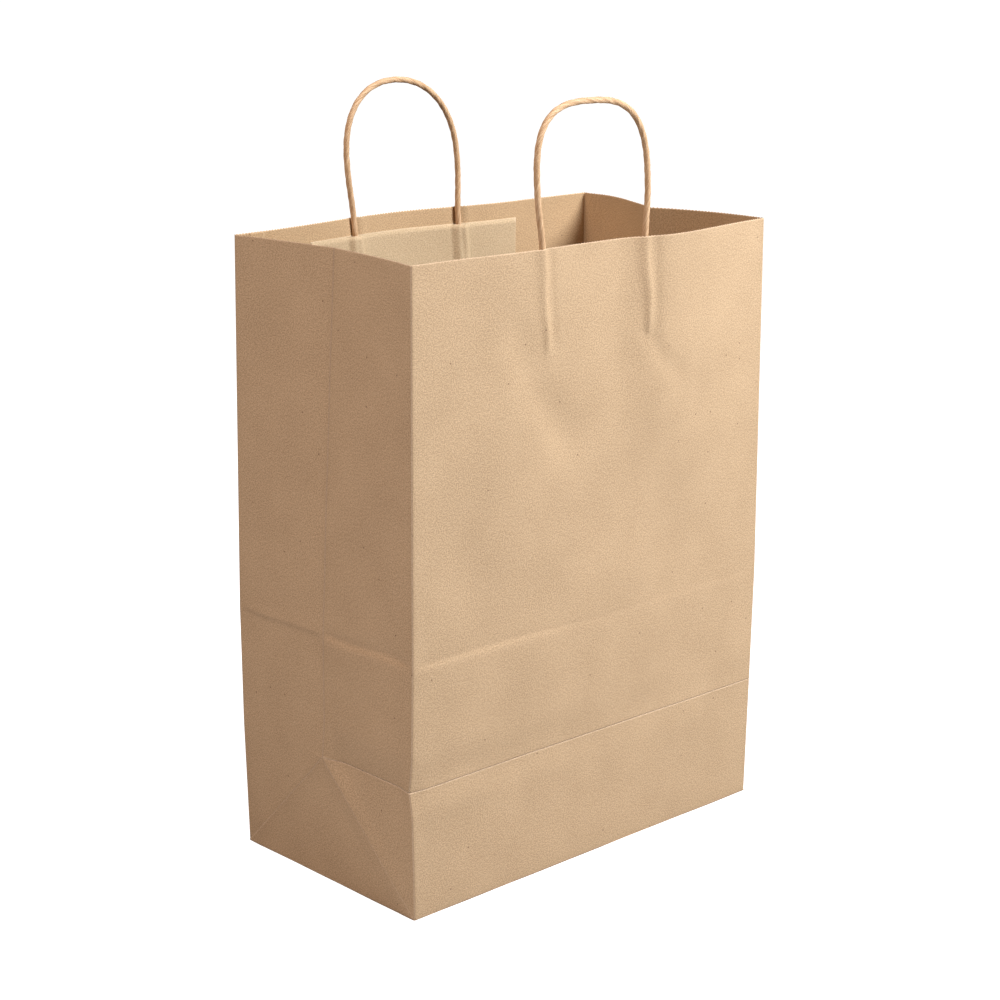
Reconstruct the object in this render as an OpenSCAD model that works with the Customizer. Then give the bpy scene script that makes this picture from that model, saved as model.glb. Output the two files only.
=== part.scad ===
// Twisted-handle paper carrier bag: one folded kraft sheet, divided at its creases so that it can
// fold flat, with a glued bottom, two inside patches and two twisted paper cord handles.
// Millimetres. X runs along the wide panels, the front panel faces -Y, and the bag stands on z = 0.

/* [Bag] */
// Width of the front and back panels
bag_w = 330; // [260:1:420]
// Depth of the bag, which is the width of each side gusset
bag_d = 178; // [120:1:220]
// Height from the ground to the cut rim
bag_h = 432; // [340:1:540]
// Thickness of one ply of paper
paper_t = 0.2; // [0.12:0.01:0.3]

/* [Seam and bottom] */
// Distance from the rear left corner to the long glued seam
seam_inset = 13; // [10:0.5:30]
// Width of paper glued in the long seam
seam_lap_w = 12; // [6:0.5:25]
// Width over which the two long bottom flaps lie on each other
flap_overlap = 25; // [10:1:40]
// How far the end tucks reach past the points of the flaps
tuck_extra = 12; // [4:1:25]

/* [Handle patches] */
// Length of each patch, along the rim
patch_w = 190; // [150:1:240]
// Height of each patch
patch_h = 55; // [40:1:80]
// Distance from the rim down to the top of a patch
patch_drop = 12.5; // [6:0.5:30]

/* [Handles] */
// Thickness of the twisted paper cord
cord_d = 4; // [3:0.1:5]
// Distance between the two legs of a handle, centre to centre
handle_spacing = 95; // [78:1:130]
// Height of the top of a handle above the rim
handle_rise = 93; // [75:1:120]
// Radius of the two rounded shoulders of a handle, at the middle of the cord
shoulder_r = 38; // [28:1:46]
// How far the front handle is glued off the middle of its panel
front_handle_shift = -4; // [-20:1:20]
// How far the back handle is glued off the middle of its panel
back_handle_shift = -12; // [-20:1:20]
// Length of cord above the rim that bends when a handle leans
bend_len = 10; // [8:0.5:16]
// Distance from the foot of a leg up from the lower edge of its patch
leg_foot = 0.5; // [0:0.5:10]

/* [Fits] */
// Clear gap left along each crease, where two plies meet at a fold
crease_gap = 0.1; // [0.05:0.01:0.2]
// Clear gap between a cord and the paper that wraps it
cord_fit = 0.05; // [0.02:0.01:0.2]

/* [Hidden] */
$fn = 48;
half_w = bag_w / 2;
half_d = bag_d / 2;
half_gap = crease_gap / 2;
// The outer flap, the inner flap and the tucks are three plies thick in all
base_t = 3 * paper_t;
wall_foot = base_t + crease_gap;
// Inner faces of the wide panels, and where the gussets end short of them
panel_inner = half_d - paper_t;
gusset_end = panel_inner - crease_gap;
cord_r = cord_d / 2;
// The cord lies on the patch base, which lies on the panel
cord_axis = panel_inner - paper_t - cord_fit - cord_r;
patch_top = bag_h - patch_drop;
patch_foot = patch_top - patch_h;
flap_reach = half_d + flap_overlap / 2;
tuck_reach = half_d + tuck_extra;
arch_top = bag_h + handle_rise - cord_r;
kraft = "#b98c5e";
kraft_inside = "#a97d52";
kraft_patch = "#c1986c";
cord_colour = "#c08a55";

// Places a piece drawn for the back panel on the back (side = 1) or mirrors it to the front (-1)
module on_wide_side(side) {
    mirror([0, side < 0 ? 1 : 0, 0]) children();
}

// A flat ply of a wide panel, from its lower edge to its upper edge
module wide_ply(lower, upper) {
    translate([-half_w, panel_inner, lower]) cube([bag_w, paper_t, upper - lower]);
}

module back_panel() {
    color(kraft) wide_ply(wall_foot, bag_h);
}

// The front panel above the crease at half the depth, where the flat bag folds over
module front_panel() {
    color(kraft) on_wide_side(-1) wide_ply(half_d + half_gap, bag_h);
}

module front_lower_panel() {
    color(kraft) on_wide_side(-1) wide_ply(wall_foot, half_d - half_gap);
}

// The strip of the sheet that is glued inside the back panel to close the tube
module seam_lap() {
    color(kraft_inside)
        translate([-half_w + seam_inset, panel_inner - paper_t, wall_foot])
            cube([seam_lap_w, paper_t, bag_h - wall_foot]);
}

// A crease seen from the side: a narrow strip along a line from one point to another
module crease_strip(from, to) {
    run = to - from;
    translate(from)
        rotate(atan2(run[1], run[0]))
            translate([0, -half_gap])
                square([norm(run), crease_gap]);
}

// The creases of a gusset: the upright one, the level one and the two slanting ones
module gusset_creases() {
    apex = [0, half_d];
    crease_strip(apex, [0, bag_h]);
    crease_strip([-half_d, half_d], apex);
    crease_strip([-half_d, 0], apex);
    crease_strip([half_d, 0], apex);
}

// One ply of the left gusset: an outline in depth and height, cut back along the creases.
// The right gusset is its mirror image.
module gusset_ply(outline, side) {
    mirror([side > 0 ? 1 : 0, 0, 0])
        translate([-half_w, 0, 0])
            rotate([90, 0, 90])
                linear_extrude(paper_t)
                    difference() {
                        intersection() {
                            polygon(outline);
                            translate([-gusset_end, wall_foot])
                                square([2 * gusset_end, bag_h - wall_foot]);
                        }
                        gusset_creases();
                    }
}

// The rear half of a gusset, down to the slanting crease that meets the rear bottom corner
module gusset_rear(side) {
    color(kraft) gusset_ply([[half_d, 0], [half_d, bag_h], [0, bag_h], [0, half_d]], side);
}

// The front half of a gusset, above the crease at half the depth
module gusset_front(side) {
    color(kraft) gusset_ply([[-half_d, half_d], [0, half_d], [0, bag_h], [-half_d, bag_h]], side);
}

module front_triangle(side) {
    color(kraft) gusset_ply([[-half_d, 0], [0, half_d], [-half_d, half_d]], side);
}

module base_triangle(side) {
    color(kraft) gusset_ply([[-half_d, 0], [half_d, 0], [0, half_d]], side);
}

// A long bottom flap with mitred ends, drawn from the rear edge (side = 1) or the front edge (-1)
module long_flap(side, ply) {
    on_wide_side(side)
        translate([0, 0, ply * paper_t])
            linear_extrude(paper_t)
                polygon([
                    [-half_w, half_d],
                    [half_w, half_d],
                    [half_w - flap_reach, half_d - flap_reach],
                    [-half_w + flap_reach, half_d - flap_reach]
                ]);
}

// An end tuck, which lies inside the bag on both long flaps
module end_tuck(side) {
    color(kraft_inside)
        mirror([side > 0 ? 1 : 0, 0, 0])
            translate([0, 0, 2 * paper_t])
                linear_extrude(paper_t)
                    polygon([
                        [-half_w, -half_d],
                        [-half_w, half_d],
                        [-half_w + tuck_reach, half_d / 2],
                        [-half_w + tuck_reach, -half_d / 2]
                    ]);
}

module bottom_outer_flap() {
    color(kraft) long_flap(1, 0);
}

module bottom_inner_flap() {
    color(kraft) long_flap(-1, 1);
}

// Across the bag, the middle of a handle; a leg stands half the spacing to each side of it
function handle_middle(side) = side > 0 ? back_handle_shift : front_handle_shift;
function leg_x(side, leg) = handle_middle(side) + leg * handle_spacing / 2;

// The patch ply that is glued to the panel
module patch_base(side) {
    color(kraft_patch)
        on_wide_side(side)
            translate([-patch_w / 2, panel_inner - paper_t, patch_foot])
                cube([patch_w, paper_t, patch_h]);
}

// The patch ply that covers the two legs and wraps round each of them
module patch_cover(side) {
    color(kraft_patch)
        on_wide_side(side)
            translate([0, 0, patch_foot])
                linear_extrude(patch_h)
                    difference() {
                        union() {
                            translate([-patch_w / 2, panel_inner - 2 * paper_t])
                                square([patch_w, paper_t]);
                            for (leg = [-1, 1])
                                cord_channel(leg_x(side, leg), cord_r + cord_fit + paper_t);
                        }
                        for (leg = [-1, 1])
                            cord_channel(leg_x(side, leg), cord_r + cord_fit);
                    }
}

// The section of a channel round a leg: half a circle, with straight sides down to the base ply
module cord_channel(x, radius) {
    translate([x, cord_axis]) {
        intersection() {
            circle(radius);
            translate([-radius, -radius])
                square([2 * radius, radius]);
        }
        translate([-radius, 0])
            square([2 * radius, panel_inner - paper_t - cord_axis]);
    }
}

// One upright length of cord
module cord_length(side, leg, lower, upper) {
    color(cord_colour)
        on_wide_side(side)
            translate([leg_x(side, leg), cord_axis, lower])
                cylinder(h = upper - lower, r = cord_r);
}

// The leg is held in the patch and reaches the rim
module handle_leg(side, leg) {
    cord_length(side, leg, patch_foot + leg_foot, bag_h);
}

// The short length above the rim that bends when the handle leans
module handle_bend(side, leg) {
    cord_length(side, leg, bag_h, bag_h + bend_len);
}

// The free arch: two legs, two rounded shoulders and a level top
module handle_loop(side) {
    shoulder_z = arch_top - shoulder_r;
    shoulder_x = handle_spacing / 2 - shoulder_r;
    color(cord_colour)
        on_wide_side(side)
            translate([handle_middle(side), cord_axis, 0]) {
                for (leg = [-1, 1]) {
                    translate([leg * handle_spacing / 2, 0, bag_h + bend_len])
                        cylinder(h = shoulder_z - bag_h - bend_len, r = cord_r);
                    mirror([leg < 0 ? 1 : 0, 0, 0])
                        translate([shoulder_x, 0, shoulder_z])
                            rotate([90, 0, 0])
                                rotate_extrude(angle = 90)
                                    translate([shoulder_r, 0]) circle(cord_r);
                }
                translate([-shoulder_x, 0, arch_top])
                    rotate([0, 90, 0])
                        cylinder(h = 2 * shoulder_x, r = cord_r);
            }
}

back_panel();
seam_lap();
patch_base(1);  // back_patch_base
patch_cover(1);  // back_patch_cover
handle_leg(1, -1);  // back_handle_left_leg
handle_leg(1, 1);  // back_handle_right_leg
handle_bend(1, -1);  // back_handle_left_bend
handle_bend(1, 1);  // back_handle_right_bend
handle_loop(1);  // back_handle_loop
front_panel();
patch_base(-1);  // front_patch_base
patch_cover(-1);  // front_patch_cover
handle_leg(-1, -1);  // front_handle_left_leg
handle_leg(-1, 1);  // front_handle_right_leg
handle_bend(-1, -1);  // front_handle_left_bend
handle_bend(-1, 1);  // front_handle_right_bend
handle_loop(-1);  // front_handle_loop
gusset_rear(-1);  // left_gusset_rear
gusset_front(-1);  // left_gusset_front
gusset_rear(1);  // right_gusset_rear
gusset_front(1);  // right_gusset_front
front_lower_panel();
front_triangle(-1);  // left_front_triangle
front_triangle(1);  // right_front_triangle
base_triangle(-1);  // left_base_triangle
base_triangle(1);  // right_base_triangle
bottom_outer_flap();
bottom_inner_flap();
end_tuck(-1);  // bottom_left_tuck
end_tuck(1);  // bottom_right_tuck
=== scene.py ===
"""A twisted-handle kraft paper carrier bag, standing open on a pale studio floor.

The bag is one folded sheet. Every wall is a surface worked out from two sheet coordinates: along, the
distance round the bag from the middle of the wall, and up, the height. The bow and pinch functions bend
the walls, and pieces that meet at a crease take their shared edge from the same function.
"""
import math

import bpy
import numpy as np
from mathutils import Matrix, Vector


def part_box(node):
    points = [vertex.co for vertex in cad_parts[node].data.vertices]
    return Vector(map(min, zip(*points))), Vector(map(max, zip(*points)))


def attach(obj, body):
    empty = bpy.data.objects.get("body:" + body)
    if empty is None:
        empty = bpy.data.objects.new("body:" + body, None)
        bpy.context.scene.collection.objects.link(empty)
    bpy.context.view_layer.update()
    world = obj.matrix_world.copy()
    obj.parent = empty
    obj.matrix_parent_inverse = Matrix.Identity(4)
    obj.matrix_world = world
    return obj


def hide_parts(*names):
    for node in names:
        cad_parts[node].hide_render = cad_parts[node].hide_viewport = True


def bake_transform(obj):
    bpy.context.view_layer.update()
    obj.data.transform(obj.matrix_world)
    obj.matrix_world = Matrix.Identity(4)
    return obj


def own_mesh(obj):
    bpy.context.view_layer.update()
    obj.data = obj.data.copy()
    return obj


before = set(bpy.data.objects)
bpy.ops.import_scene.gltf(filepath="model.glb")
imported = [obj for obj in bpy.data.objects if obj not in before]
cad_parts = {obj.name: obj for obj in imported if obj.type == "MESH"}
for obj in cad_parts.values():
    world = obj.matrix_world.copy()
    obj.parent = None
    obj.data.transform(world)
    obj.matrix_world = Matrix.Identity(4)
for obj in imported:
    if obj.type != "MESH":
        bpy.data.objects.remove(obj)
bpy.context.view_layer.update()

MM = 0.001

# ---------------------------------------------------------------- sizes, from the frame

PANEL_LOW, PANEL_HIGH = (np.array(corner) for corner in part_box("back_panel"))
HALF_W = PANEL_HIGH[0]
HALF_D = PANEL_HIGH[1]
RIM = PANEL_HIGH[2]
PAPER = PANEL_HIGH[1] - PANEL_LOW[1]
PATCH_LOW, PATCH_HIGH = (np.array(corner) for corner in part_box("back_patch_base"))
LEG_LOW, LEG_HIGH = (np.array(corner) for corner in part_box("back_handle_left_leg"))
CORD = LEG_HIGH[0] - LEG_LOW[0]
RIGHT_LEG_LOW = np.array(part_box("back_handle_right_leg")[0])
LEG_SPACING = RIGHT_LEG_LOW[0] - LEG_LOW[0]
SEAM_LOW, SEAM_HIGH = (np.array(corner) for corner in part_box("seam_lap"))
PERIMETER = 4 * (HALF_W + HALF_D)

# The level crease is at half the depth. An earlier fold left a soft crease just under the whole depth
FOLD = HALF_D
SOFT_CREASE = 2 * HALF_D - 4 * MM
CORNER_RADIUS = 1.2 * MM

# The rim is cut with a toothed blade
TOOTH_PITCH = 2.5 * MM
TOOTH_DEPTH = 0.6 * MM
TOOTH_REACH = 3 * MM

# A glued ply lies a hair more than its own thickness further in, so that no two faces share a place
ONE_PLY_IN = PAPER * 1.02
TWO_PLIES_IN = PAPER * 2.05

# Mesh steps: the height of a row, the closer rows beside an end or a crease in millimetres, and how many
# points the smaller plies have
ROW = 5 * MM
CLOSE_ROWS = (-3.5, -2, -1, 0, 1, 2, 3.5)
SEAM_COLUMNS = 11
PATCH_ROWS, PATCH_COLUMNS = 16, 191
BOTTOM_ROWS, BOTTOM_COLUMNS = 33, 97
NARROWEST = 0.02 * MM

# The value of a distance where there is no crease or cut edge to be near
FAR = 1.0

# Where the patches and the bottom lie on the paper's pattern, clear of one another
PATCH_SHEET = (0.4, 0.3)
BOTTOM_SHEET = (0.2, -0.3)


# ---------------------------------------------------------------- small maths

def smooth(value):
    """0 below 0, 1 above 1, and between them 3 t squared less 2 t cubed."""
    t = np.clip(value, 0, 1)
    return t * t * (3 - 2 * t)


def hump(position, centre, before, after):
    """The square of a cosine: 1 at centre, 0 from before ahead of it to after behind it."""
    away = position - centre
    reach = np.where(away < 0, before, after)
    return np.cos(np.clip(away / reach, -1, 1) * math.pi / 2) ** 2


def tent(position, centre, before, after):
    """Straight slopes up to 1 at centre and down again, as a sheet stands at a crease."""
    away = position - centre
    reach = np.where(away < 0, before, after)
    return np.clip(1 - np.abs(away) / reach, 0, 1)


def step_out(position, centre, width, fade):
    """A small step in the sheet: half out below centre and half in above it, turning over within width
    and easing back to nothing over the distance fade on both sides."""
    away = position - centre
    return -np.tanh(away / width) * np.exp(-np.abs(away) / fade) / 2


def dent(across, up, centre_across, centre_up, radius_across, radius_up):
    """A soft round hollow: e to the minus squared distance, measured in the two radii."""
    return np.exp(-((across - centre_across) / radius_across) ** 2 - ((up - centre_up) / radius_up) ** 2)


def openness(up):
    """0 at the soft crease and 1 at the rim: how far the sheet is free of the stiff bottom."""
    return np.clip((up - SOFT_CREASE) / (RIM - SOFT_CREASE), 0, 1)


def ripple(along, up, seed):
    """Three crossed sine waves of about 55, 77 and 163 mm, which leave no part of the paper dead flat."""
    return (np.sin(along / (9.5 * MM) + up / (24 * MM) + seed)
            + 1.4 * np.sin(along / (21 * MM) - up / (15 * MM) + 2.1 * seed)
            + 1.8 * np.sin(along / (34 * MM) + up / (40 * MM) + 3.7 * seed)) / 4.2


# ---------------------------------------------------------------- the shape of the open bag

# Each handle: the middle of its legs at the patch foot and at the rim, the distance between them, how far
# its loop leans along the bag at the top, the height of the loop's centreline, how square the loop is, how
# far each side of it swells outwards, and how far off the middle its patch is glued
HANDLES = {
    "front": {"foot": -4.0 * MM, "rim": -11.0 * MM, "spacing": LEG_SPACING - 2.5 * MM, "lean": -6.4 * MM,
              "top": RIM + 91.5 * MM, "power": 2.9, "swell": 3.0 * MM, "patch": 0.0},
    "back": {"foot": -2.5 * MM, "rim": -7.4 * MM, "spacing": LEG_SPACING - 1.2 * MM, "lean": -9.8 * MM,
             "top": RIM + 93.6 * MM, "power": 2.15, "swell": 2.4 * MM, "patch": -2.5 * MM},
}


def leg_middle(handle, up):
    """The middle between the two legs: a straight line through the foot and the rim, and above the rim
    a lean that grows with the height to the power 1.3."""
    share = (up - PATCH_LOW[2]) / (RIM - PATCH_LOW[2])
    below = handle["foot"] + share * (handle["rim"] - handle["foot"])
    height_share = np.maximum(up - RIM, 0) / (handle["top"] - RIM)
    above = handle["rim"] + handle["lean"] * height_share ** 1.3
    return np.where(up < RIM, below, above)


RIDGE_HEIGHT = 1.4 * MM
RIDGE_WIDTH = 2.6 * MM
RIDGE_RIGHT_WIDTH = 2.7 * MM
GROOVE_DEPTH = 0.6 * MM
GROOVE_AWAY = 7.5 * MM
GROOVE_WIDTH = 3.6 * MM


def ridges(handle, across, up):
    """The paper over the two hidden legs: a rounded ridge, broad on its left side towards the rim, with a
    shallow groove on its right side."""
    total = np.zeros(np.broadcast(across, up).shape)
    reach = smooth((up - PATCH_LOW[2] + 6 * MM) / (14 * MM))
    left_width = RIDGE_WIDTH + RIDGE_WIDTH * smooth((up - PATCH_LOW[2]) / (RIM - PATCH_LOW[2]))
    for leg in (-1, 1):
        away = across - leg_middle(handle, up) - leg * handle["spacing"] / 2
        wobble = 0.7 * MM * np.sin(up / (7 * MM) + 2 * leg)
        width = np.where(away < wobble, left_width, RIDGE_RIGHT_WIDTH)
        total += RIDGE_HEIGHT * np.exp(-((away - wobble) / width) ** 2)
        total -= GROOVE_DEPTH * np.exp(-((away - GROOVE_AWAY) / GROOVE_WIDTH) ** 2)
    return total * reach


# How far each upright edge stands off its straight line, as (x, y) outwards in millimetres, at the level
# crease, at the soft crease and at the rim
EDGES = {
    (-1, -1): ((1.5, -0.7), (0.8, 0.0), (0.5, 0.0)),
    (-1, 1): ((2.3, 0.8), (2.3, 2.2), (0.3, 0.3)),
    (1, -1): ((1.7, 0.2), (2.7, 0.6), (-1.0, 0.4)),
    (1, 1): ((0.4, 0.4), (1.0, 1.0), (1.8, 2.0)),
}

# How much higher than its nominal height the rim stands at each corner, in millimetres
CUT_RISE = {(-1, -1): 0.6, (-1, 1): 0.2, (1, -1): 0.3, (1, 1): 1.1}

# How deep the near left edge is nicked where it was creased
NICK_DEPTH = 2.3 * MM


def corner_shift(side_x, side_y, up):
    """How far an upright edge stands off its straight line, as (x, y): straight runs between the ground,
    the level crease, the soft crease and the rim. The near left edge is nicked at the level crease."""
    levels = [0, FOLD, SOFT_CREASE, RIM]
    out_x = np.interp(up, levels, [0] + [place[0] * MM for place in EDGES[side_x, side_y]])
    out_y = np.interp(up, levels, [0] + [place[1] * MM for place in EDGES[side_x, side_y]])
    if (side_x, side_y) == (-1, -1):
        out_y = out_y - NICK_DEPTH * tent(up, FOLD, 16 * MM, 22 * MM)
    return side_x * out_x, side_y * out_y


# Shallow hollows below the handle legs, each a straight run between two points: x, z, x, z, the width,
# and the depth, all in millimetres
HOLLOWS = (
    (-76, 376, -58, 338, 15, 2.0),
    (-58, 338, -33, 307, 15, 2.1),
    (42, 366, 56, 346, 6.5, 1.15),
    (56, 346, 71, 336, 7, 0.9),
    (-120, 240, -100, 205, 30, 1.2),
    (40, 260, 85, 225, 34, 1.4),
)


def hollow(across, up, x0, z0, x1, z1, width):
    """A rounded hollow along a line: e to the minus squared distance from the line, in widths."""
    run_x, run_z = x1 - x0, z1 - z0
    share = np.clip(((across - x0) * run_x + (up - z0) * run_z) / (run_x ** 2 + run_z ** 2), 0, 1)
    away = np.hypot(across - x0 - share * run_x, up - z0 - share * run_z)
    return np.exp(-(away / width) ** 2)


def soft_fold(up, level, width, valley, above):
    """A soft crease: a step out below its level, turning over within width, and a narrow valley, whose
    depth is valley, a distance above the level."""
    away = (up - level - above) / (1.45 * width)
    return step_out(up, level, width, 24 * MM) - valley * np.exp(-away ** 2)


def front_bow(across, up):
    """Outward bow of the front: a low arch, a hump either side of the handle, and soft hollows below it.

    The soft crease fades to the right, and the level crease is a ridge."""
    free = openness(up) ** 1.4
    bow = free * (2.2 * MM * (1 - (across / HALF_W) ** 2)
                  + 2.4 * MM * hump(across, -72 * MM, 60 * MM, 50 * MM)
                  + 10 * MM * hump(across, 60 * MM, 48 * MM, 105 * MM))
    deepest = 0 * across * up
    for *line, width, depth in HOLLOWS:
        hollowed = hollow(across, up, *(value * MM for value in line), width * MM)
        deepest = np.maximum(deepest, depth * MM * hollowed)
    bow = bow - deepest
    fading = 0.25 + 0.75 * smooth((10 * MM - across) / (110 * MM))
    level = SOFT_CREASE - 2.5 * MM * hump(across, 15 * MM, 90 * MM, 60 * MM)
    bow += 1.0 * MM * fading * soft_fold(up, level, 1.8 * MM, 0.45, 0)
    sharp = 0.4 + 0.6 * smooth((-60 * MM - across) / (80 * MM))
    bow += 1.1 * MM * sharp * tent(up, FOLD, 30 * MM, 7 * MM)
    return bow + ridges(HANDLES["front"], across, up)


def back_bow(across, up):
    """Outward bow of the back: one broad arch a little to the left, fading towards the ground."""
    free = openness(up) ** 1.3
    bow = free * 12.5 * MM * hump(across, -16 * MM, 135 * MM, 105 * MM)
    bow += 1.2 * MM * soft_fold(up, SOFT_CREASE, 1.8 * MM, 0.45, 0)
    bow += 1.0 * MM * dent(across, up, 70 * MM, 210 * MM, 50 * MM, 70 * MM)
    return bow + ridges(HANDLES["back"], across, up)


def middle_fold(share, up):
    """The upright crease of a gusset: a narrow inward fold, from the level crease up."""
    return 0.9 * MM * smooth((up - FOLD) / (30 * MM)) * np.clip(1 - 6 * share, 0, 1)


LEFT_PINCH = 12 * MM
RIGHT_PINCH = 22 * MM
RIGHT_SWELL = 3.2 * MM


def drawn_in(up):
    """How far the gussets are drawn in: 0 at the soft crease and 1 at the rim."""
    return openness(up) ** 1.15


def left_pinch(depth, up):
    """Inward push of the left gusset: half a parabola and half a straight-sided fold."""
    share = np.abs(depth) / HALF_D
    fold = 0.5 * (1 - share ** 2) + 0.5 * (1 - share)
    return LEFT_PINCH * drawn_in(up) * fold + middle_fold(share, up)


def right_pinch(depth, up):
    """Inward push of the right gusset: a fold that steepens towards the middle, less a swell towards its
    back edge."""
    share = np.abs(depth) / HALF_D
    swell = RIGHT_SWELL * drawn_in(up) * hump(depth, 0.72 * HALF_D, 0.5 * HALF_D, 0.28 * HALF_D)
    return RIGHT_PINCH * drawn_in(up) * (1 - share) ** 2.1 + middle_fold(share, up) - swell


def gusset_creases(depth, up):
    """How far a gusset stands out at its level and slanting creases. Depth is negative in front.

    The soft crease steps out in front of the middle and in behind it. In front, the level crease is a
    valley, and the sheet rises from it to the slanting crease, which is a ridge."""
    share = np.abs(depth) / HALF_D
    way = np.clip(-depth / (6 * MM), -1, 1)
    size = np.where(depth < 0, 1.15, 0.6) * MM
    level = SOFT_CREASE + 0.8 * MM * np.sin(depth / (13 * MM))
    stand = size * way * soft_fold(up, level, 2.0 * MM, 0.65, 2.0 * MM)
    slant = HALF_D - np.abs(depth)
    fore = smooth(-depth / (3 * MM))
    above = np.clip(1 - (up - FOLD) / (23 * MM), 0, 1)
    below = np.clip((up - slant) / np.maximum(FOLD - slant, 1 * MM), 0, 1)
    valley = 4.4 * MM * smooth(share / 0.25) * (1 - 0.45 * share)
    stand -= fore * valley * np.where(up > FOLD, above, below)
    ridge = np.clip(1 - np.abs(up - slant) / (16 * MM), 0, 1)
    return stand + (0.5 + 0.7 * fore) * MM * ridge * (up < FOLD) * (1 - share ** 4)


def rounded(along, half):
    """Rounds a wall's two upright edges: past half less the radius, the sheet turns through 45 degrees.

    Gives the new distance along the wall and how far the sheet has turned inwards."""
    past = np.clip(np.abs(along) - (half - CORNER_RADIUS), 0, CORNER_RADIUS)
    angle = past / CORNER_RADIUS * math.pi / 4
    flat = np.minimum(np.abs(along), half - CORNER_RADIUS)
    return np.sign(along) * (flat + CORNER_RADIUS * np.sin(angle)), CORNER_RADIUS * (1 - np.cos(angle))


def edge_gate(along, half):
    """1 over the wall, falling to 0 in its last 14 mm, so that a bow never moves an upright edge."""
    return smooth((half - np.abs(along)) / (14 * MM))


# A wall: half its width, the way along runs (x, y), the way out (x, y), and where it starts on the sheet
WALLS = {
    "front": {"half": HALF_W, "way": (1, 0), "out": (0, -1), "start": 0},
    "right": {"half": HALF_D, "way": (0, 1), "out": (1, 0), "start": 2 * HALF_W},
    "back": {"half": HALF_W, "way": (-1, 0), "out": (0, 1), "start": 2 * (HALF_W + HALF_D)},
    "left": {"half": HALF_D, "way": (0, -1), "out": (-1, 0), "start": 2 * (2 * HALF_W + HALF_D)},
}


def wall_bow(wall_name, along, up):
    """Outward distance of a wall from its flat plane, before its edges are rounded."""
    way = WALLS[wall_name]["way"]
    if wall_name == "front":
        return front_bow(along * way[0], up) + 0.35 * MM * ripple(along, up, 1)
    if wall_name == "back":
        return back_bow(along * way[0], up) + 0.35 * MM * ripple(along, up, 2)
    depth = along * way[1]
    pinch = left_pinch(depth, up) if wall_name == "left" else right_pinch(depth, up)
    return gusset_creases(depth, up) - pinch + 0.3 * MM * ripple(along, up, 3)


def wall_point(wall_name, along, up, inward=0.0):
    """The place of a sheet point: its wall's plane, plus the corner shifts shared out along the wall,
    plus the bow, plus the rounded edges, less the distance inward. All are whole arrays."""
    wall = WALLS[wall_name]
    way, out, half = np.array(wall["way"]), np.array(wall["out"]), wall["half"]
    turned, sunk = rounded(along, half)
    depth_of_plane = HALF_D if wall_name in ("front", "back") else HALF_W
    low_corner = out - way
    high_corner = out + way
    low = corner_shift(low_corner[0], low_corner[1], up)
    high = corner_shift(high_corner[0], high_corner[1], up)
    share = (along / half + 1) / 2
    bow = wall_bow(wall_name, along, up) * edge_gate(along, half)
    off = depth_of_plane + bow - sunk - inward
    rise = (1 - share) * CUT_RISE[tuple(low_corner)] + share * CUT_RISE[tuple(high_corner)]
    x = way[0] * turned + out[0] * off + (1 - share) * low[0] + share * high[0]
    y = way[1] * turned + out[1] * off + (1 - share) * low[1] + share * high[1]
    z = up + rise * MM * openness(up)
    return np.stack(np.broadcast_arrays(x, y, z), axis=-1)


# ---------------------------------------------------------------- meshes

def grid_mesh(name, points, sheet, values, closed_across=False):
    """A mesh of quads over a grid of points (rows, columns, 3), with a UV map named sheet in metres and
    one value at each point for each name in values. Rows run up and columns run along, and closed_across
    joins the last column to the first."""
    rows, columns = points.shape[:2]
    number = np.arange(rows * columns).reshape(rows, columns)
    if closed_across:
        number = np.concatenate([number, number[:, :1]], axis=1)
    quads = np.stack([number[:-1, :-1], number[:-1, 1:], number[1:, 1:], number[1:, :-1]], axis=-1)
    mesh = bpy.data.meshes.new(name)
    mesh.from_pydata(points.reshape(-1, 3).tolist(), [], quads.reshape(-1, 4).tolist())
    if closed_across:
        turn = sheet[:, :1] + [1, 0]
        sheet = np.concatenate([sheet, turn], axis=1)
        at = np.arange(rows * (columns + 1)).reshape(rows, columns + 1)
        corners = np.stack([at[:-1, :-1], at[:-1, 1:], at[1:, 1:], at[1:, :-1]], axis=-1)
    else:
        corners = quads
    layer = mesh.uv_layers.new(name="sheet")
    layer.data.foreach_set("uv", sheet.reshape(-1, 2)[corners.reshape(-1)].astype(np.float32).ravel())
    for value_name, value in values.items():
        point_values = np.broadcast_to(value, (rows, columns)).astype(np.float32)
        layer = mesh.attributes.new(value_name, "FLOAT", "POINT")
        layer.data.foreach_set("value", point_values.ravel())
    mesh.polygons.foreach_set("use_smooth", np.ones(len(mesh.polygons), bool))
    mesh.update()
    return mesh


def new_piece(name, mesh, body, material, nodes, thickness=None, inner=None):
    """Puts a mesh in the scene on its body, in place of its CAD nodes, with a wall of the given thickness,
    whose inner face may take a second material, such as the inside paper with its painted shade."""
    mesh.materials.append(material)
    if inner:
        mesh.materials.append(inner)
    piece = bpy.data.objects.new(name, mesh)
    bpy.context.scene.collection.objects.link(piece)
    if thickness:
        wall = piece.modifiers.new("paper thickness", "SOLIDIFY")
        wall.thickness = thickness
        wall.offset = -1
        wall.use_even_offset = True
        wall.material_offset = 1 if inner else 0
    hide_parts(*nodes)
    if body:
        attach(piece, body)
    return piece


def heights(low, high, marks=()):
    """Row heights from low to high, about ROW apart, with close rows at both ends and at each mark."""
    even = np.linspace(low, high, max(2, round((high - low) / ROW) + 1))
    near = [mark + step * MM for mark in (low, high, *marks) for step in CLOSE_ROWS]
    inside = [value for value in near if low <= value <= high]
    return np.unique(np.round(np.concatenate([even, inside]), 6))


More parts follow.
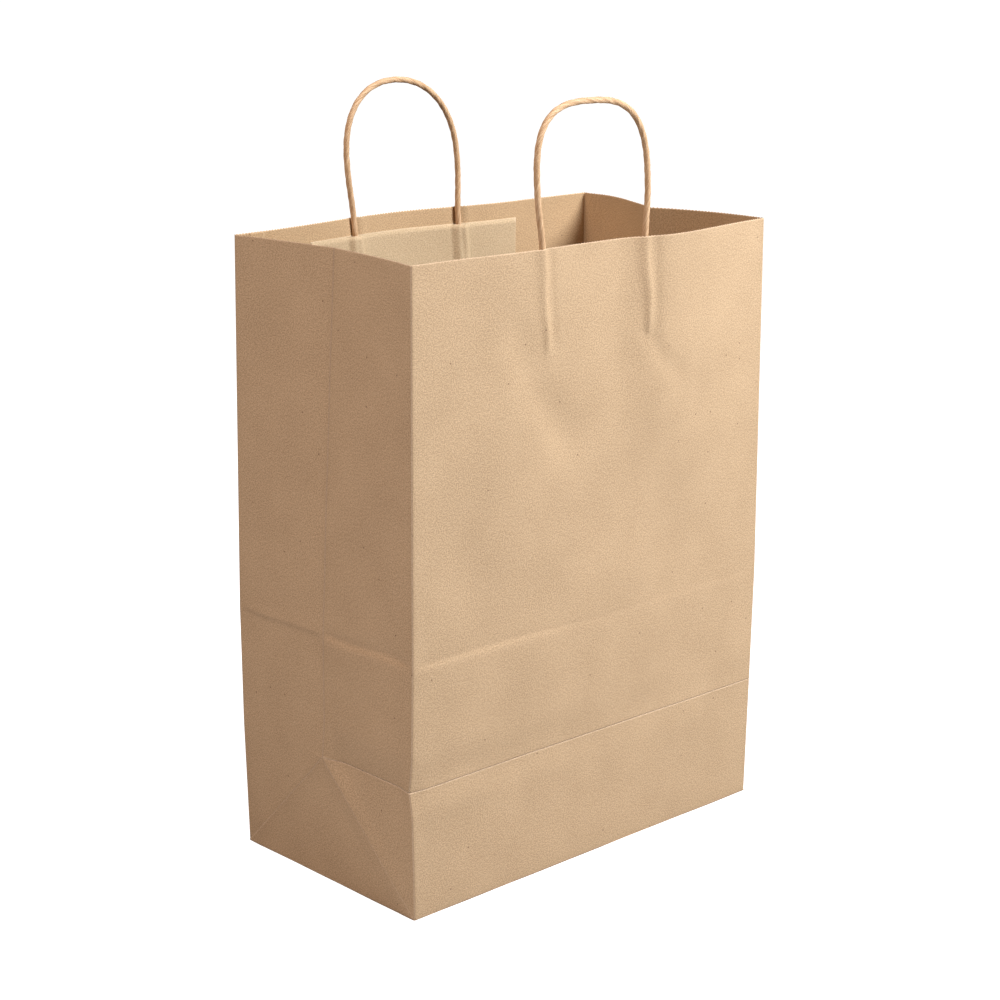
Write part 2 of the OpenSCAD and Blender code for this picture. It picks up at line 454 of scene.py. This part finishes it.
def wall_piece(name, wall_name, low, high, edges, body, papers, cad_node, flatten=None):
    """One ply of a wall between two heights. edges(up) gives the first and last distance along it.

    The point values are the distances to the nearest crease, to the rim and to the soft crease."""
    half = WALLS[wall_name]["half"]
    up = heights(low, high, (FOLD, SOFT_CREASE, PATCH_LOW[2], PATCH_HIGH[2]))[:, None]
    first, last = edges(up)
    columns = 2 * round(float(np.max(last - first)) / TOOTH_PITCH) + 1
    share = np.linspace(0, 1, columns)[None, :]
    width = np.maximum(last - first, NARROWEST)
    along = first + share * width
    tooth = TOOTH_DEPTH * (np.arange(columns)[None, :] % 2)
    cut = up - tooth * smooth((up - RIM + TOOTH_REACH) / TOOTH_REACH)
    points = wall_point(wall_name, along, cut)
    slant = (last - first < 2 * half - MM) & (up < FOLD)
    scale = np.where(slant, math.sqrt(0.5), 1.0)
    to_side = np.minimum(along - first, first + width - along) * scale + 0.25 * MM * slant
    to_high = np.where(high < RIM, high - up, FAR)
    crease = np.minimum(np.minimum(to_side, up - low), to_high)
    sheet = np.stack(np.broadcast_arrays(WALLS[wall_name]["start"] + half + along, up), axis=-1)
    values = {"crease": crease, "rim": RIM - up, "soft_crease": np.abs(up - SOFT_CREASE)}
    mesh = grid_mesh(name, points, sheet, values)
    outer, inner = papers
    piece = new_piece(name, mesh, body, outer, [cad_node], PAPER, inner)
    if flatten:
        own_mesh(piece)


def whole_width(up):
    """The first and last distance along the front or the back, which are cut square."""
    return -HALF_W + 0 * up, HALF_W + 0 * up


def gusset_edges(region, side):
    """The first and last distance along a gusset for one of its four regions, as functions of height.

    In depth from the front, the regions are bounded by the middle and by the two slanting creases."""
    def limits(up):
        slant = np.clip(HALF_D - up, 0, HALF_D)
        spans = {
            "rear": (slant, HALF_D + 0 * up),
            "front": (-HALF_D + 0 * up, 0 * up),
            "front_triangle": (-HALF_D + 0 * up, -slant),
            "base_triangle": (-slant, slant),
        }
        near, far = spans[region]
        return (near, far) if side > 0 else (-far, -near)
    return limits


def build_walls(papers):
    """The four walls, as the eleven flat regions that the creases leave."""
    wall_piece("back_wall", "back", 0, RIM, whole_width, "back", papers, "back_panel")
    wall_piece("front_wall", "front", FOLD, RIM, whole_width, "front", papers, "front_panel")
    wall_piece("front_lower_wall", "front", 0, FOLD, whole_width, "front_lower", papers,
               "front_lower_panel", {"axis": (0, 1, 0), "anchor": (0, -HALF_D, 0)})
    regions = [
        ("rear", 0, RIM, "{}_gusset_rear", "{}_gusset_rear"),
        ("front", FOLD, RIM, "{}_gusset_front", "{}_gusset_front"),
        ("front_triangle", 0, FOLD, "{}_front", "{}_front_triangle"),
        ("base_triangle", 0, FOLD, "{}_base", "{}_base_triangle"),
    ]
    for side, side_name in ((-1, "left"), (1, "right")):
        flatten = {"axis": (1, 0, 0), "anchor": (side * HALF_W, 0, 0)}
        for region, low, high, body, cad_node in regions:
            wall_piece(cad_node.format(side_name) + "_wall", side_name, low, high,
                       gusset_edges(region, side), body.format(side_name), papers,
                       cad_node.format(side_name), flatten)


def build_seam(inside):
    """The glued strip inside the back wall: the wall's own surface, one ply further in."""
    up = heights(2 * MM, RIM - TOOTH_DEPTH)[:, None]
    across = np.linspace(SEAM_HIGH[0], SEAM_LOW[0], SEAM_COLUMNS)[None, :]
    points = wall_point("back", -across + 0 * up, up + 0 * across, inward=ONE_PLY_IN)
    edge = np.minimum(across - SEAM_LOW[0], SEAM_HIGH[0] - across)
    sheet = np.stack(np.broadcast_arrays(-across + PERIMETER, up), axis=-1)
    values = {"crease": FAR + 0 * edge, "rim": edge + 0 * up, "soft_crease": np.abs(up - SOFT_CREASE)}
    mesh = grid_mesh("seam_strip", points, sheet, values)
    new_piece("seam_strip", mesh, "back", inside, ["seam_lap"], PAPER)


# ---------------------------------------------------------------- handle patches

COVER_INSET = 0.4 * MM

# Added to the distance from a patch's cut edge, so that the pale line along the edge is thinner and fainter
PALE_EDGE_LESS = 0.35 * MM


def patch_lift(handle, across, up):
    """How far the cover ply stands off the base ply: a cord's thickness at each leg, easing to nothing
    8 mm away on each side, and less towards the lower edge where the glue draws it down."""
    lift = np.zeros(np.broadcast(across, up).shape)
    for leg in (-1, 1):
        away = np.abs(across - leg_middle(handle, up) - leg * handle["spacing"] / 2)
        lift = np.maximum(lift, 1 - smooth((away - 1.5 * MM) / (6.5 * MM)))
    low_end = smooth((up - PATCH_LOW[2] + 4 * MM) / (12 * MM))
    return lift * low_end * (CORD + 0.15 * MM)


def patch_ply(name, handle_name, inset, lifted, material, cad_node):
    """One ply of a patch, following the inner face of its wall at a set distance inwards."""
    handle = HANDLES[handle_name]
    up = np.linspace(PATCH_LOW[2] + inset, PATCH_HIGH[2] - inset, PATCH_ROWS)[:, None]
    across_way = WALLS[handle_name]["way"][0]
    middle = handle["patch"] * across_way
    half = (PATCH_HIGH[0] - PATCH_LOW[0]) / 2 - inset
    along = middle + np.linspace(-half, half, PATCH_COLUMNS)[None, :]
    across = along * across_way
    inward = ONE_PLY_IN + 0 * along * up
    if lifted:
        inward = TWO_PLIES_IN + patch_lift(handle, across, up)
    points = wall_point(handle_name, along + 0 * up, up + 0 * along, inward=inward)
    rim_shape = np.minimum(PATCH_HIGH[2] - inset - up, up - PATCH_LOW[2] - inset)
    edge = np.minimum(rim_shape, half - np.abs(along - middle))
    sheet = np.stack(np.broadcast_arrays(along + PATCH_SHEET[0], up + PATCH_SHEET[1]), axis=-1)
    values = {"crease": FAR + 0 * edge, "rim": edge + PALE_EDGE_LESS, "soft_crease": FAR + 0 * edge}
    mesh = grid_mesh(name, points, sheet, values)
    new_piece(name, mesh, handle_name, material, [cad_node], PAPER)


def build_patches(patch_paper):
    """On each side, a ply glued to the wall and a cover ply, which is a little smaller, over the legs."""
    for side_name in ("back", "front"):
        patch_ply(side_name + "_patch_inner_ply", side_name, 0.0, False, patch_paper,
                  side_name + "_patch_base")
        patch_ply(side_name + "_patch_cover_ply", side_name, COVER_INSET, True, patch_paper,
                  side_name + "_patch_cover")


# ---------------------------------------------------------------- twisted cord handles

LOOP_WAIST = RIM + 38 * MM
TWIST_PITCH = 30 * MM
CORD_SIDES = 36
RING_STEP = 1.1 * MM
LEG_STEPS = 120
LOOP_STEPS = 401
SMOOTHING_ROUNDS = 6
STRAND_DEPTH = 0.15


def loop_half_width(handle, up):
    """Half the distance between the two sides of a handle. Up to the waist it swells a little from the
    leg spacing, and above it follows a superellipse that closes at the top."""
    rise = np.clip((up - LOOP_WAIST) / (handle["top"] - LOOP_WAIST), 0, 1)
    straight = handle["spacing"] / 2 + handle["swell"] * smooth((up - RIM + 4 * MM) / (LOOP_WAIST - RIM))
    return straight * (1 - rise ** handle["power"]) ** (1 / handle["power"])


def cord_path(handle_name):
    """The centreline of a handle, from the foot of one leg over the loop to the other foot.

    Heights come from an angle that runs evenly over the loop; each leg lies on the patch base inside its
    wall, and above the rim the line keeps the two legs' distances out, shared out between them."""
    handle = HANDLES[handle_name]
    foot = LEG_LOW[2]
    leg_up = np.linspace(foot, LOOP_WAIST, LEG_STEPS, endpoint=False)
    angle = np.linspace(0, math.pi, LOOP_STEPS)
    loop_up = LOOP_WAIST + (handle["top"] - LOOP_WAIST) * np.sin(angle)
    up = np.concatenate([leg_up, loop_up, leg_up[::-1]])
    side = np.concatenate([-np.ones(LEG_STEPS), -np.sign(np.cos(angle)), np.ones(LEG_STEPS)])
    across = leg_middle(handle, up) + side * loop_half_width(handle, up)
    held = np.minimum(up, RIM)
    offs = []
    for leg in (-1, 1):
        leg_across = leg_middle(handle, held) + leg * handle["spacing"] / 2
        along = leg_across * WALLS[handle_name]["way"][0]
        offs.append(wall_point(handle_name, along, held, inward=2.1 * PAPER + CORD / 2)[:, 1])
    share = np.clip((across - leg_middle(handle, up)) / handle["spacing"] + 0.5, 0, 1)
    share = np.where(up < RIM, (side + 1) / 2, smooth(share))
    depth = (1 - share) * offs[0] + share * offs[1]
    path = np.stack([across, depth, up], axis=-1)
    step = np.concatenate([[0], np.cumsum(np.linalg.norm(np.diff(path, axis=0), axis=1))])
    even = np.linspace(0, step[-1], round(step[-1] / RING_STEP) + 1)
    path = np.stack([np.interp(even, step, path[:, k]) for k in range(3)], axis=-1)
    for _ in range(SMOOTHING_ROUNDS):
        path[1:-1] = path[1:-1] / 2 + (path[:-2] + path[2:]) / 4
    return path


def cord_mesh(name, path, seed):
    """A twisted paper cord: rings round the path whose radius has three broad strands and finer pleats,
    all turning steadily along the cord, with a slow unevenness in the roll. The ends are closed."""
    forward = np.gradient(path, axis=0)
    forward /= np.linalg.norm(forward, axis=1)[:, None]
    outward = np.cross(forward, [0.0, 1.0, 0.0])
    outward /= np.linalg.norm(outward, axis=1)[:, None]
    sideways = np.cross(outward, forward)
    length = np.concatenate([[0], np.cumsum(np.linalg.norm(np.diff(path, axis=0), axis=1))])[:, None]
    angle = np.linspace(0, 2 * math.pi, CORD_SIDES, endpoint=False)[None, :]
    wander = 0.5 * np.sin(length / (23 * MM) + seed) + 0.3 * np.sin(length / (9 * MM) + 2 * seed)
    turn = angle + 2 * math.pi * length / TWIST_PITCH + wander
    strands = STRAND_DEPTH * (np.abs(np.sin(1.5 * turn)) ** 0.6 - 0.7)
    pleats = (0.038 * np.sin(7 * turn + 3 * np.sin(turn + seed))
              + 0.022 * np.sin(13 * turn + length / (4 * MM)))
    roll = 0.04 * np.sin(length / (11 * MM) + 3 * seed + angle)
    radius = CORD / 2 * (1 + strands + pleats + roll)
    ends = np.minimum(length, length[-1] - length)
    radius = radius * np.sqrt(np.clip(ends / (0.8 * MM), 0.0, 1)) + 0.01 * MM
    points = (path[:, None, :] + radius[..., None] * (np.cos(angle)[..., None] * outward[:, None, :]
                                                      + np.sin(angle)[..., None] * sideways[:, None, :]))
    # How far a point lies from the grooves between the strands; the cord's painted groove shade is taken
    # from it
    groove = np.abs(np.sin(1.5 * turn)) ** 0.7
    sheet = np.stack(np.broadcast_arrays(angle / (2 * math.pi), length), axis=-1)
    mesh = grid_mesh(name, points, sheet, {"groove": groove}, closed_across=True)
    mesh.flip_normals()
    return mesh


def build_handles(cord_paper):
    """The two cords, each one piece from foot to foot, whose loop leans along the bag."""
    for seed, handle_name in enumerate(HANDLES, 1):
        path = cord_path(handle_name)
        name = handle_name + "_twisted_handle"
        mesh = cord_mesh(name, path, seed)
        nodes = [handle_name + "_handle_" + part for part in
                 ("left_leg", "right_leg", "left_bend", "right_bend", "loop")]
        piece = new_piece(name, mesh, None, cord_paper, nodes)
        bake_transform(piece)


# ---------------------------------------------------------------- bottom

def bottom_lift(x, y):
    """The bottom stands a little off the ground in the middle: 1.2 mm, easing to nothing at its edges."""
    return 1.2 * MM * (1 - (x / HALF_W) ** 2) ** 2 * (1 - (y / HALF_D) ** 2) ** 2


def bottom_ply(name, cad_node, outline, material):
    """A bottom ply as a grid: outline(t) gives, for t from 0 to 1, the ends of a row across the ply."""
    high = np.array(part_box(cad_node)[1])
    t = np.linspace(0, 1, BOTTOM_ROWS)[:, None]
    (x0, y0), (x1, y1) = outline(t)
    s = np.linspace(0, 1, BOTTOM_COLUMNS)[None, :]
    x = x0 + s * (x1 - x0)
    y = y0 + s * (y1 - y0)
    points = np.stack(np.broadcast_arrays(x, y, high[2] + bottom_lift(x, y)), axis=-1)
    edge = np.minimum(np.minimum(s, 1 - s) * np.hypot(x1 - x0, y1 - y0), (1 - t) * 0.1)
    values = {"crease": np.minimum(HALF_W - np.abs(x), HALF_D - np.abs(y)) + 0 * s * t, "rim": edge,
              "soft_crease": FAR + 0 * edge}
    sheet = np.stack(np.broadcast_arrays(x + BOTTOM_SHEET[0], y + BOTTOM_SHEET[1]), axis=-1)
    mesh = grid_mesh(name, points, sheet, values)
    piece = new_piece(name, mesh, "bottom", material, [cad_node], PAPER)
    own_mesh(piece)


def build_bottom(kraft, inside):
    """The folded block bottom: two long flaps over two end tucks."""
    outer_low, outer_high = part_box("bottom_outer_flap")
    reach = outer_high[1] - outer_low[1]
    tuck_low, tuck_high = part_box("bottom_left_tuck")
    tuck = tuck_high[0] - tuck_low[0]

    def long_flap(side):
        """Rows run across the bag from the side edge inwards, each shorter by its distance twice."""
        def outline(t):
            inset = t * reach
            return (-side * (-HALF_W + inset), side * (HALF_D - inset)), \
                   (-side * (HALF_W - inset), side * (HALF_D - inset))
        return outline

    def end_tuck(side):
        """Rows run in depth from the end edge inwards, narrowing to half the depth."""
        def outline(t):
            half = HALF_D * (1 - t / 2)
            return (side * (HALF_W - t * tuck), -side * -half), (side * (HALF_W - t * tuck), -side * half)
        return outline

    bottom_ply("bottom_outer_ply", "bottom_outer_flap", long_flap(1), kraft)
    bottom_ply("bottom_inner_ply", "bottom_inner_flap", long_flap(-1), kraft)
    bottom_ply("bottom_left_tuck_ply", "bottom_left_tuck", end_tuck(-1), inside)
    bottom_ply("bottom_right_tuck_ply", "bottom_right_tuck", end_tuck(1), inside)


# ---------------------------------------------------------------- materials

# The colours of each paper, as red, green, blue and 1: the paper itself, its dark parts and its pale parts
# The dark colours also serve as painted shade beside the creases and in the cord's grooves
KRAFT_COLOURS = ((0.635, 0.449, 0.268, 1), (0.350, 0.233, 0.128, 1), (0.75, 0.58, 0.41, 1))
# The inside paper: a darker, more saturated copy of the kraft, as painted shade and warm bounced light
# inside the bag
INSIDE_SHADED_COLOURS = ((0.610, 0.418, 0.234, 1), (0.350, 0.223, 0.113, 1), (0.73, 0.54, 0.34, 1))
PATCH_COLOURS = ((0.605, 0.455, 0.278, 1), (0.377, 0.270, 0.152, 1), (0.80, 0.65, 0.47, 1))
CORD_COLOURS = ((0.76, 0.53, 0.315, 1), (0.42, 0.235, 0.105, 1), (0.88, 0.70, 0.48, 1))
FLECK_COLOUR = (0.11, 0.055, 0.025, 1)
FLOOR_COLOURS = ((0.46, 0.46, 0.47, 1), (0.50, 0.50, 0.51, 1))
SURROUND_COLOUR = (0.185, 0.165, 0.148, 1)
WHITE = (1, 1, 1, 1)


def feed(tree, socket, value):
    """Gives an input its value: a link from another node's output, or a plain value."""
    if isinstance(value, bpy.types.NodeSocket):
        tree.links.new(value, socket)
    else:
        socket.default_value = value


def node(tree, kind, settings=None, **inputs):
    """Adds a shader node, sets its settings, and feeds its inputs, which are named or numbered as in_0."""
    made = tree.nodes.new(kind)
    for key, value in (settings or {}).items():
        setattr(made, key, value)
    for key, value in inputs.items():
        name = int(key[3:]) if key.startswith("in_") else key
        feed(tree, made.inputs[name], value)
    return made


def maths(tree, operation, *values):
    """One sum, such as ADD or MULTIPLY, on the values."""
    made = node(tree, "ShaderNodeMath", {"operation": operation})
    for socket, value in zip(made.inputs, values):
        feed(tree, socket, value)
    return made.outputs[0]


def ranged(tree, value, low, high, to_low=0.0, to_high=1.0):
    """Maps low..high smoothly to to_low..to_high."""
    made = node(tree, "ShaderNodeMapRange", {"interpolation_type": "SMOOTHSTEP"}, in_0=value, in_1=low,
                in_2=high, in_3=to_low, in_4=to_high)
    return made.outputs[0]


def mixed(tree, share, first, second):
    """The first colour where share is 0, and the second where it is 1."""
    made = node(tree, "ShaderNodeMix", {"data_type": "RGBA"}, in_0=share, in_6=first, in_7=second)
    return made.outputs[2]


def noise(tree, vector, scale, detail, roughness=0.5):
    """Cloudy values from 0 to 1, with about scale clouds to the metre."""
    made = node(tree, "ShaderNodeTexNoise", None, Vector=vector, Scale=scale, Detail=detail,
                Roughness=roughness)
    return made.outputs["Fac"]


def stretched(tree, vector, turn, across, along):
    """The same place, turned about the sheet's normal and scaled by two different amounts."""
    made = node(tree, "ShaderNodeMapping", None, Vector=vector, Rotation=(0, 0, turn),
                Scale=(across, along, 1))
    return made.outputs[0]


def new_group(name, inputs, outputs):
    """An empty shader group with the named sockets, and its input and output nodes."""
    tree = bpy.data.node_groups.new(name, "ShaderNodeTree")
    for socket_name, kind in inputs:
        tree.interface.new_socket(socket_name, in_out="INPUT", socket_type=kind)
    for socket_name, kind in outputs:
        tree.interface.new_socket(socket_name, in_out="OUTPUT", socket_type=kind)
    return tree, tree.nodes.new("NodeGroupInput"), tree.nodes.new("NodeGroupOutput")


def make_paper_grain():
    """Kraft paper: slow clouds, fine speckle, three layers of fibres, sparse dark flecks, and the height
    of the speckle and fibres. Place is in metres on the sheet."""
    tree, given, result = new_group(
        "paper grain", [("Place", "NodeSocketVector")],
        [("Cloud", "NodeSocketFloat"), ("Speckle", "NodeSocketFloat"), ("Fibre", "NodeSocketFloat"),
         ("Fleck", "NodeSocketFloat"), ("Height", "NodeSocketFloat")])
    place = given.outputs["Place"]
    cloud = noise(tree, place, 26, 3)
    speckle = noise(tree, place, 1100, 3, 0.72)
    strokes = []
    for turn in (0.35, -0.75, 1.9):
        lines = noise(tree, stretched(tree, place, turn, 2100, 260), 1, 2, 0.6)
        strokes.append(ranged(tree, lines, 0.60, 0.76))
    fibre = maths(tree, "MAXIMUM", maths(tree, "MAXIMUM", strokes[0], strokes[1]), strokes[2])
    cells = node(tree, "ShaderNodeTexVoronoi", {"feature": "F1", "voronoi_dimensions": "2D"}, Vector=place,
                 Scale=62.0, Randomness=1.0)
    near = ranged(tree, cells.outputs["Distance"], 0.022, 0.045, 1.0, 0.0)
    chance = node(tree, "ShaderNodeSeparateColor", None, Color=cells.outputs["Color"])
    chosen = ranged(tree, chance.outputs[0], 0.93, 0.94)
    fleck = maths(tree, "MULTIPLY", near, chosen)
    height = maths(tree, "ADD", maths(tree, "MULTIPLY", speckle, 0.6), maths(tree, "MULTIPLY", fibre, 0.5))
    for socket_name, value in (("Cloud", cloud), ("Speckle", speckle), ("Fibre", fibre),
                               ("Fleck", fleck), ("Height", height)):
        tree.links.new(value, result.inputs[socket_name])
    return tree


def make_fold_wear_and_shade():
    """Wear and painted shade at creases and cut edges, from the distances to them: a thin pale worn line on
    the fold and a pale cut edge, and painted shade as a wider dark band beside the fold and a dark line at
    the soft crease."""
    tree, given, result = new_group(
        "fold wear and crease shade",
        [("Crease", "NodeSocketFloat"), ("Soft", "NodeSocketFloat"), ("Edge", "NodeSocketFloat"),
         ("Break", "NodeSocketFloat")],
        [("Pale", "NodeSocketFloat"), ("Shade", "NodeSocketFloat")])
    line = ranged(tree, given.outputs["Crease"], 0.0, 0.0010, 1.0, 0.0)
    broken = ranged(tree, given.outputs["Break"], 0.35, 0.6, 0.45, 1.0)
    edge = ranged(tree, given.outputs["Edge"], 0.0, 0.0008, 0.8, 0.0)
    pale = maths(tree, "MAXIMUM", maths(tree, "MULTIPLY", line, broken), edge)
    # Painted shade: a wider dark band beside each crease, and a dark line along the soft crease
    crease_shade_band = ranged(tree, given.outputs["Crease"], 0.0008, 0.0050, 1.0, 0.0)
    soft = ranged(tree, given.outputs["Soft"], 0.0, 0.0022, 0.6, 0.0)
    shade = maths(tree, "MAXIMUM", crease_shade_band, soft)
    tree.links.new(pale, result.inputs["Pale"])
    tree.links.new(shade, result.inputs["Shade"])
    return tree


def group_results(tree, group, **inputs):
    """The outputs of a new node that uses the group."""
    return node(tree, "ShaderNodeGroup", {"node_tree": group}, **inputs).outputs


def attribute(tree, name):
    """The value of that name, which the mesh carries at each of its points."""
    return node(tree, "ShaderNodeAttribute", {"attribute_name": name}).outputs["Fac"]


def start_material(name):
    """A new material, its node tree and its main shader."""
    material = bpy.data.materials.new(name)
    material.use_nodes = True
    tree = material.node_tree
    return material, tree, tree.nodes["Principled BSDF"]


def kraft_material(name, colours, grain, wear_and_shade):
    """Matt brown paper: clouds and speckle between two browns, pale fibres, dark flecks, worn folds, and
    painted shade beside the folds.
    """
    colour, dark, pale = colours
    material, tree, shader = start_material(name)
    place = node(tree, "ShaderNodeUVMap", {"uv_map": "sheet"}).outputs["UV"]
    detail = group_results(tree, grain, Place=place)
    worn_and_shaded = group_results(tree, wear_and_shade, Crease=attribute(tree, "crease"), Soft=attribute(tree, "soft_crease"),
                         Edge=attribute(tree, "rim"), Break=detail["Speckle"])
    tone = maths(tree, "ADD", ranged(tree, detail["Cloud"], 0.2, 0.8, 0.04, 0.20),
                 ranged(tree, detail["Speckle"], 0.385, 0.615, 0.0, 0.80))
    base = mixed(tree, tone, dark, colour)
    base = mixed(tree, maths(tree, "MULTIPLY", detail["Fibre"], 0.35), base, pale)
    # Painted shade beside the creases and along the soft crease, mixed towards the dark colour
    base = mixed(tree, maths(tree, "MULTIPLY", worn_and_shaded["Shade"], 0.10), base, dark)
    base = mixed(tree, maths(tree, "MULTIPLY", worn_and_shaded["Pale"], 0.45), base, pale)
    base = mixed(tree, maths(tree, "MULTIPLY", detail["Fleck"], 0.75), base, FLECK_COLOUR)
    tree.links.new(base, shader.inputs["Base Color"])
    tree.links.new(ranged(tree, detail["Speckle"], 0.3, 0.7, 0.92, 0.80), shader.inputs["Roughness"])
    bump = node(tree, "ShaderNodeBump", None, Strength=0.22, Distance=0.00012, Height=detail["Height"])
    tree.links.new(bump.outputs[0], shader.inputs["Normal"])
    shader.inputs["Specular IOR Level"].default_value = 0.25
    return material


def cord_material(name, colours, grain):
    """Twisted paper: streaks that run with the twist, painted shade in the grooves, fibres and a slight
    waxy sheen.
    """
    colour, dark, pale = colours
    material, tree, shader = start_material(name)
    place = node(tree, "ShaderNodeUVMap", {"uv_map": "sheet"}).outputs["UV"]
    parts = node(tree, "ShaderNodeSeparateXYZ", None, Vector=place).outputs
    unrolled = maths(tree, "ADD", parts["X"], maths(tree, "DIVIDE", parts["Y"], TWIST_PITCH))
    round_angle = maths(tree, "MULTIPLY", unrolled, 2 * math.pi)
    ring = node(tree, "ShaderNodeCombineXYZ", None, X=maths(tree, "COSINE", round_angle),
                Y=maths(tree, "SINE", round_angle), Z=maths(tree, "MULTIPLY", parts["Y"], 9.0)).outputs[0]
    streak = noise(tree, ring, 5.5, 4, 0.6)
    detail = group_results(tree, grain, Place=node(tree, "ShaderNodeTexCoord").outputs["Object"])
    tone = maths(tree, "ADD", ranged(tree, streak, 0.40, 0.60, 0.0, 0.7),
                 ranged(tree, detail["Speckle"], 0.3, 0.7, 0.0, 0.3))
    base = mixed(tree, tone, dark, colour)
    base = mixed(tree, maths(tree, "MULTIPLY", detail["Fibre"], 0.3), base, pale)
    # Painted shade: darkens the grooves between the strands
    groove = ranged(tree, attribute(tree, "groove"), 0.05, 0.55, 1.0, 0.0)
    base = mixed(tree, maths(tree, "MULTIPLY", groove, 0.75), base, dark)
    tree.links.new(base, shader.inputs["Base Color"])
    tree.links.new(ranged(tree, streak, 0.3, 0.7, 0.78, 0.62), shader.inputs["Roughness"])
    height = maths(tree, "ADD", streak, maths(tree, "MULTIPLY", detail["Height"], 0.4))
    bump = node(tree, "ShaderNodeBump", None, Strength=0.5, Distance=0.0002, Height=height)
    tree.links.new(bump.outputs[0], shader.inputs["Normal"])
    shader.inputs["Specular IOR Level"].default_value = 0.35
    return material


def floor_material():
    """A matt pale studio floor, lit up to white where it is looked at, as a light table is."""
    material, tree, shader = start_material("studio floor")
    place = node(tree, "ShaderNodeTexCoord").outputs["Object"]
    cloud = noise(tree, place, 3, 2)
    base = mixed(tree, cloud, *FLOOR_COLOURS)
    tree.links.new(base, shader.inputs["Base Color"])
    shader.inputs["Roughness"].default_value = 0.9
    shader.inputs["Specular IOR Level"].default_value = 0.1
    shader.inputs["Emission Color"].default_value = WHITE
    seen = node(tree, "ShaderNodeLightPath").outputs["Is Camera Ray"]
    tree.links.new(maths(tree, "MULTIPLY", seen, 0.96), shader.inputs["Emission Strength"])
    return material


# ---------------------------------------------------------------- camera, floor and light

CAMERA_PLACE = Vector((-1.0396, -1.0922, 0.6422))
CAMERA_AIM = Vector((-0.0437, -0.0399, 0.2541))
CAMERA_ROLL = math.radians(0.35)
CAMERA_LENS = 79.7
SENSOR_WIDTH = 36
NEAREST_SEEN = 0.05
FLOOR_HALF = 30
FLOOR_POINTS = 13


def aimed(place, aim):
    """Where an object stands that looks from place to aim, as a matrix."""
    turn = (aim - place).to_track_quat("-Z", "Y").to_matrix().to_4x4()
    return Matrix.Translation(place) @ turn


def build_camera():
    """A long lens, to the left of the near corner and a little above the handles."""
    data = bpy.data.cameras.new("camera")
    data.lens = CAMERA_LENS
    data.sensor_width = SENSOR_WIDTH
    data.clip_start = NEAREST_SEEN
    camera = bpy.data.objects.new("camera", data)
    camera.matrix_world = aimed(CAMERA_PLACE, CAMERA_AIM) @ Matrix.Rotation(CAMERA_ROLL, 4, "Z")
    bpy.context.scene.collection.objects.link(camera)
    bpy.context.scene.camera = camera


def build_floor():
    """A wide flat floor, as a coarse grid."""
    side = np.linspace(-FLOOR_HALF, FLOOR_HALF, FLOOR_POINTS)
    x, y = np.meshgrid(side, side)
    points = np.stack([x, y, 0 * x], axis=-1)
    mesh = grid_mesh("studio_floor", points, np.stack([x, y], axis=-1), {})
    mesh.materials.append(floor_material())
    floor = bpy.data.objects.new("studio_floor", mesh)
    bpy.context.scene.collection.objects.link(floor)


def area_light(name, place, aim, size, power, colour):
    """A round lamp that is size metres across, at place and turned to aim."""
    data = bpy.data.lights.new(name, "AREA")
    data.shape = "DISK"
    data.size = size
    data.energy = power
    data.color = colour
    light = bpy.data.objects.new(name, data)
    light.matrix_world = aimed(Vector(place), Vector(aim))
    bpy.context.scene.collection.objects.link(light)


def build_light():
    """A soft key high on the front right, a warm softbox high on the left, and an even dim surround."""
    area_light("key light", (0.62, -1.00, 1.30), (0, 0, 0.30), 0.7, 38, (0.98, 1.01, 1.08))
    area_light("left softbox", (-1.85, 0.05, 2.68), (0, 0, 0.25), 1.3, 57, (1.0, 0.85, 0.83))
    world = bpy.data.worlds.new("studio surround")
    bpy.context.scene.world = world
    world.use_nodes = True
    tree = world.node_tree
    seen = node(tree, "ShaderNodeLightPath").outputs["Is Camera Ray"]
    background = tree.nodes["Background"]
    tree.links.new(mixed(tree, seen, SURROUND_COLOUR, WHITE), background.inputs["Color"])
    bpy.context.scene.view_settings.view_transform = "Standard"


# ---------------------------------------------------------------- the scene

def build_scene():
    """Everything, from the camera to the bottom of the bag."""
    build_camera()
    build_floor()
    build_light()
    grain = make_paper_grain()
    wear_and_shade = make_fold_wear_and_shade()
    kraft = kraft_material("kraft", KRAFT_COLOURS, grain, wear_and_shade)
    # Painted shade: the inner faces, the seam strip and the bottom tucks take the darker inside copy of the
    # kraft
    inside = kraft_material("kraft_inside", INSIDE_SHADED_COLOURS, grain, wear_and_shade)
    patch_paper = kraft_material("kraft_patch", PATCH_COLOURS, grain, wear_and_shade)
    cord_paper = cord_material("twisted_cord", CORD_COLOURS, grain)
    build_walls((kraft, inside))
    build_seam(inside)
    build_patches(patch_paper)
    build_handles(cord_paper)
    build_bottom(kraft, inside)


build_scene()
